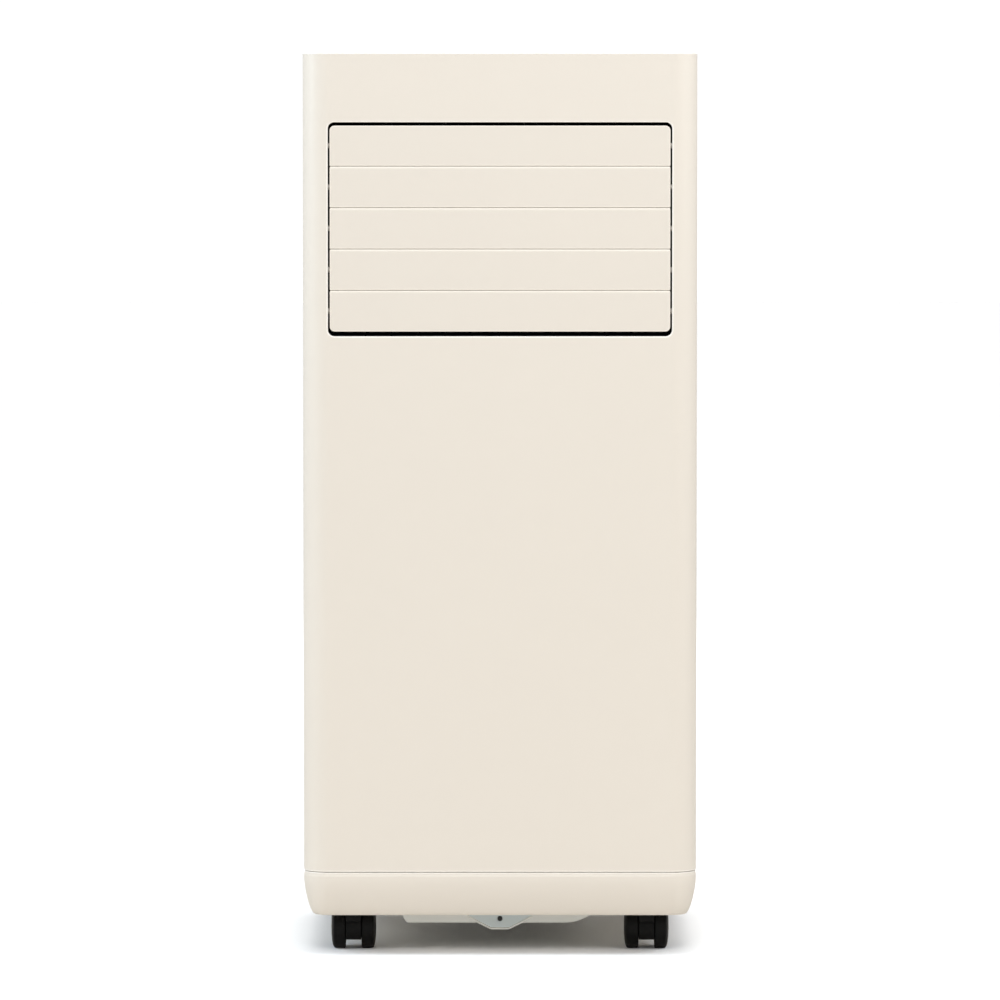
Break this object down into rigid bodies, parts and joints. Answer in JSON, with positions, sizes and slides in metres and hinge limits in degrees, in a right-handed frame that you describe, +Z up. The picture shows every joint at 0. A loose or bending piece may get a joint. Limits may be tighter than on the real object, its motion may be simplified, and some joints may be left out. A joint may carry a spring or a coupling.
{
  "type": "portable air conditioner",
  "caption": "Tall box-shaped floor-standing air conditioner on twin-wheel casters, with a flush swinging louvre in front, top push-button panel, rear intake and exhaust port.",
  "frame": {"origin": "on the floor, under the middle of the casing", "axes": "+X to the right seen from the front, -Y to the front, +Z up"},
  "size_m": [0.305, 0.325, 0.7],
  "materials": {
    "casing_plastic": "satin moulded cream",
    "slat_plastic": "satin moulded cream",
    "pan_paint": "satin grey-green paint",
    "panel_gloss": "gloss black",
    "button_plastic": "satin",
    "smoked_window": "smoked gloss",
    "board_laminate": "solder-mask green",
    "duct_plastic": "matt white moulded",
    "fan_plastic": "matt charcoal",
    "motor_steel": "zinc plated",
    "coil_aluminium": "bare fins",
    "copper": "drawn copper tube",
    "compressor_paint": "semi-gloss black",
    "box_steel": "galvanised",
    "capacitor_can": "satin can",
    "filter_plastic": "matt grey",
    "rubber": "matt",
    "caster_nylon": "moulded black"
  },
  "bodies": {
    "casing": {"front_shell": "casing_plastic", "rear_shell": "casing_plastic", "top_cover": "casing_plastic", "base_chassis": "casing_plastic", "base_pan": "pan_paint", "handle_cup_left": "casing_plastic", "handle_cup_right": "casing_plastic", "control_panel": "panel_gloss", "display_window": "smoked_window", "control_board": "board_laminate", "swing_motor": "motor_steel", "discharge_duct": "fan_plastic", "upper_scroll_housing": "duct_plastic", "upper_fan_motor": "motor_steel", "lower_scroll_housing": "duct_plastic", "lower_fan_motor": "motor_steel", "evaporator_coil": "coil_aluminium", "condenser_coil": "coil_aluminium", "partition_tray": "duct_plastic", "compressor": "compressor_paint", "accumulator": "compressor_paint", "discharge_pipe": "copper", "suction_pipe": "copper", "electrical_box": "box_steel", "run_capacitor": "capacitor_can", "condenser_grille": "casing_plastic", "exhaust_duct": "duct_plastic", "exhaust_collar": "casing_plastic", "cord_gland": "rubber"},
    "slat_1": {"louvre_slat_1": "slat_plastic"},
    "slat_2": {"louvre_slat_2": "slat_plastic"},
    "slat_3": {"louvre_slat_3": "slat_plastic"},
    "slat_4": {"louvre_slat_4": "slat_plastic"},
    "slat_5": {"louvre_slat_5": "slat_plastic"},
    "link_rod": {"louvre_link_rod": "fan_plastic"},
    "swing_crank": {"swing_crank": "fan_plastic"},
    "button_1": {"button_1": "button_plastic"},
    "button_2": {"button_2": "button_plastic"},
    "button_3": {"button_3": "button_plastic"},
    "button_4": {"button_4": "button_plastic"},
    "button_5": {"button_5": "button_plastic"},
    "button_6": {"button_6": "button_plastic"},
    "upper_blower": {"upper_blower_wheel": "fan_plastic"},
    "lower_blower": {"lower_blower_wheel": "fan_plastic"},
    "intake_door": {"intake_grille": "casing_plastic", "filter_frame": "filter_plastic"},
    "upper_drain_plug": {"upper_drain_plug": "rubber"},
    "lower_drain_plug": {"lower_drain_plug": "rubber"},
    "caster_front_left": {"caster_fork_front_left": "caster_nylon"},
    "wheel_front_left_outer": {"caster_wheel_front_left_outer": "caster_nylon"},
    "wheel_front_left_inner": {"caster_wheel_front_left_inner": "caster_nylon"},
    "caster_front_right": {"caster_fork_front_right": "caster_nylon"},
    "wheel_front_right_outer": {"caster_wheel_front_right_outer": "caster_nylon"},
    "wheel_front_right_inner": {"caster_wheel_front_right_inner": "caster_nylon"},
    "caster_rear_left": {"caster_fork_rear_left": "caster_nylon"},
    "wheel_rear_left_outer": {"caster_wheel_rear_left_outer": "caster_nylon"},
    "wheel_rear_left_inner": {"caster_wheel_rear_left_inner": "caster_nylon"},
    "caster_rear_right": {"caster_fork_rear_right": "caster_nylon"},
    "wheel_rear_right_outer": {"caster_wheel_rear_right_outer": "caster_nylon"},
    "wheel_rear_right_inner": {"caster_wheel_rear_right_inner": "caster_nylon"}
  },
  "joints": [
    {"name": "slat_1_tilt", "type": "hinge", "parent": "casing", "child": "slat_1", "pos_m": [0, -0.155, 0.6282], "axis": [-1, 0, 0], "range_deg": [0, 75]},
    {"name": "slat_2_tilt", "type": "hinge", "parent": "casing", "child": "slat_2", "pos_m": [0, -0.155, 0.5963], "axis": [-1, 0, 0], "range_deg": [0, 75]},
    {"name": "slat_3_tilt", "type": "hinge", "parent": "casing", "child": "slat_3", "pos_m": [0, -0.155, 0.5644], "axis": [-1, 0, 0], "range_deg": [0, 75]},
    {"name": "slat_4_tilt", "type": "hinge", "parent": "casing", "child": "slat_4", "pos_m": [0, -0.155, 0.5325], "axis": [-1, 0, 0], "range_deg": [0, 75]},
    {"name": "slat_5_tilt", "type": "hinge", "parent": "casing", "child": "slat_5", "pos_m": [0, -0.155, 0.5006], "axis": [-1, 0, 0], "range_deg": [0, 75]},
    {"name": "link_rod_pivot", "type": "hinge", "parent": "slat_1", "child": "link_rod", "pos_m": [0, -0.134, 0.6443], "axis": [-1, 0, 0], "range_deg": [-75, 0]},
    {"name": "swing_crank_turn", "type": "hinge", "parent": "casing", "child": "swing_crank", "pos_m": [0, -0.113, 0.5644], "axis": [-1, 0, 0], "range_deg": [0, 75]},
    {"name": "button_1_press", "type": "slide", "parent": "casing", "child": "button_1", "axis": [0, 0, -1], "range_m": [0, 0.001], "stiffness_N_per_m": 400, "springref_m": -0.0005},
    {"name": "button_2_press", "type": "slide", "parent": "casing", "child": "button_2", "axis": [0, 0, -1], "range_m": [0, 0.001], "stiffness_N_per_m": 400, "springref_m": -0.0005},
    {"name": "button_3_press", "type": "slide", "parent": "casing", "child": "button_3", "axis": [0, 0, -1], "range_m": [0, 0.001], "stiffness_N_per_m": 400, "springref_m": -0.0005},
    {"name": "button_4_press", "type": "slide", "parent": "casing", "child": "button_4", "axis": [0, 0, -1], "range_m": [0, 0.001], "stiffness_N_per_m": 400, "springref_m": -0.0005},
    {"name": "button_5_press", "type": "slide", "parent": "casing", "child": "button_5", "axis": [0, 0, -1], "range_m": [0, 0.001], "stiffness_N_per_m": 400, "springref_m": -0.0005},
    {"name": "button_6_press", "type": "slide", "parent": "casing", "child": "button_6", "axis": [0, 0, -1], "range_m": [0, 0.001], "stiffness_N_per_m": 400, "springref_m": -0.0005},
    {"name": "upper_blower_spin", "type": "hinge", "parent": "casing", "child": "upper_blower", "pos_m": [-0.008, 0.06, 0.438], "axis": [0, 1, 0], "continuous": true},
    {"name": "lower_blower_spin", "type": "hinge", "parent": "casing", "child": "lower_blower", "pos_m": [-0.008, 0.06, 0.122], "axis": [0, 1, 0], "continuous": true},
    {"name": "intake_door_open", "type": "hinge", "parent": "casing", "child": "intake_door", "pos_m": [0, 0.1612, 0.415], "axis": [-1, 0, 0], "range_deg": [0, 80]},
    {"name": "upper_drain_plug_pull", "type": "slide", "parent": "casing", "child": "upper_drain_plug", "axis": [0, 1, 0], "range_m": [0, 0.03]},
    {"name": "lower_drain_plug_pull", "type": "slide", "parent": "casing", "child": "lower_drain_plug", "axis": [0, 1, 0], "range_m": [0, 0.025]},
    {"name": "caster_front_left_swivel", "type": "hinge", "parent": "casing", "child": "caster_front_left", "pos_m": [-0.1145, -0.118, 0.04], "axis": [0, 0, 1], "continuous": true},
    {"name": "wheel_front_left_outer_roll", "type": "hinge", "parent": "caster_front_left", "child": "wheel_front_left_outer", "pos_m": [-0.1145, -0.107, 0.018], "axis": [1, 0, 0], "continuous": true},
    {"name": "wheel_front_left_inner_roll", "type": "hinge", "parent": "caster_front_left", "child": "wheel_front_left_inner", "pos_m": [-0.1145, -0.107, 0.018], "axis": [1, 0, 0], "continuous": true},
    {"name": "caster_front_right_swivel", "type": "hinge", "parent": "casing", "child": "caster_front_right", "pos_m": [0.1145, -0.118, 0.04], "axis": [0, 0, 1], "continuous": true},
    {"name": "wheel_front_right_outer_roll", "type": "hinge", "parent": "caster_front_right", "child": "wheel_front_right_outer", "pos_m": [0.1145, -0.107, 0.018], "axis": [1, 0, 0], "continuous": true},
    {"name": "wheel_front_right_inner_roll", "type": "hinge", "parent": "caster_front_right", "child": "wheel_front_right_inner", "pos_m": [0.1145, -0.107, 0.018], "axis": [1, 0, 0], "continuous": true},
    {"name": "caster_rear_left_swivel", "type": "hinge", "parent": "casing", "child": "caster_rear_left", "pos_m": [-0.1145, 0.118, 0.04], "axis": [0, 0, 1], "continuous": true},
    {"name": "wheel_rear_left_outer_roll", "type": "hinge", "parent": "caster_rear_left", "child": "wheel_rear_left_outer", "pos_m": [-0.1145, 0.129, 0.018], "axis": [1, 0, 0], "continuous": true},
    {"name": "wheel_rear_left_inner_roll", "type": "hinge", "parent": "caster_rear_left", "child": "wheel_rear_left_inner", "pos_m": [-0.1145, 0.129, 0.018], "axis": [1, 0, 0], "continuous": true},
    {"name": "caster_rear_right_swivel", "type": "hinge", "parent": "casing", "child": "caster_rear_right", "pos_m": [0.1145, 0.118, 0.04], "axis": [0, 0, 1], "continuous": true},
    {"name": "wheel_rear_right_outer_roll", "type": "hinge", "parent": "caster_rear_right", "child": "wheel_rear_right_outer", "pos_m": [0.1145, 0.129, 0.018], "axis": [1, 0, 0], "continuous": true},
    {"name": "wheel_rear_right_inner_roll", "type": "hinge", "parent": "caster_rear_right", "child": "wheel_rear_right_inner", "pos_m": [0.1145, 0.129, 0.018], "axis": [1, 0, 0], "continuous": true}
  ],
  "couplings": [
    {"joint": "slat_2_tilt", "follows": "slat_1_tilt", "ratio": 1},
    {"joint": "slat_3_tilt", "follows": "slat_1_tilt", "ratio": 1},
    {"joint": "slat_4_tilt", "follows": "slat_1_tilt", "ratio": 1},
    {"joint": "slat_5_tilt", "follows": "slat_1_tilt", "ratio": 1},
    {"joint": "link_rod_pivot", "follows": "slat_1_tilt", "ratio": -1},
    {"joint": "swing_crank_turn", "follows": "slat_1_tilt", "ratio": 1}
  ]
}
